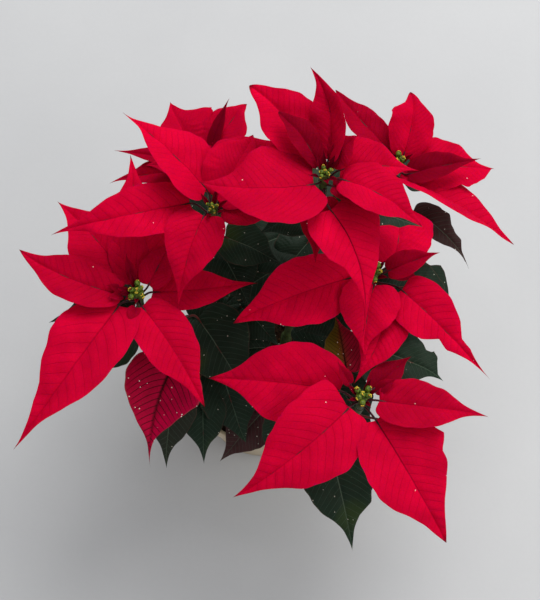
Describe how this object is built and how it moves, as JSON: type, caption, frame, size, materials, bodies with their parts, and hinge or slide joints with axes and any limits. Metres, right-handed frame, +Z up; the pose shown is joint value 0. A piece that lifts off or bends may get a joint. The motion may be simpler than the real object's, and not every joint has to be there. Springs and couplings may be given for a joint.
{
  "type": "poinsettia",
  "caption": "Potted poinsettia: heads of red pointed bracts round small yellow-green flower cups, over dark green leaves on forked stems in a plain round pot.",
  "frame": {"origin": "middle of the flat underside of the pot's foot, on the pot's axis", "axes": "+Z up along the pot's axis; -Y is the side that the picture was taken from, above and in front; +X is to the right in the picture"},
  "size_m": [0.4079, 0.3779, 0.4103],
  "materials": {
    "pot_plastic": "satin",
    "potting_mix": "rough, crumbly",
    "green_leaf": "satin",
    "red_bract": "satin",
    "cyathium": "satin"
  },
  "bodies": {
    "root": {"pot": "pot_plastic", "soil": "potting_mix", "stem_left": "green_leaf", "stem_right": "green_leaf", "stem_front": "green_leaf", "bracts_top": "red_bract", "bracts_upper_left": "red_bract", "bracts_left": "red_bract", "bracts_front_right": "red_bract", "bracts_right": "red_bract", "bracts_back_right": "red_bract", "bracts_back_left": "red_bract", "cyathia_top": "cyathium", "cyathia_upper_left": "cyathium", "cyathia_left": "cyathium", "cyathia_front_right": "cyathium", "cyathia_right": "cyathium", "cyathia_back_right": "cyathium", "cyathia_back_left": "cyathium"}
  },
  "joints": []
}
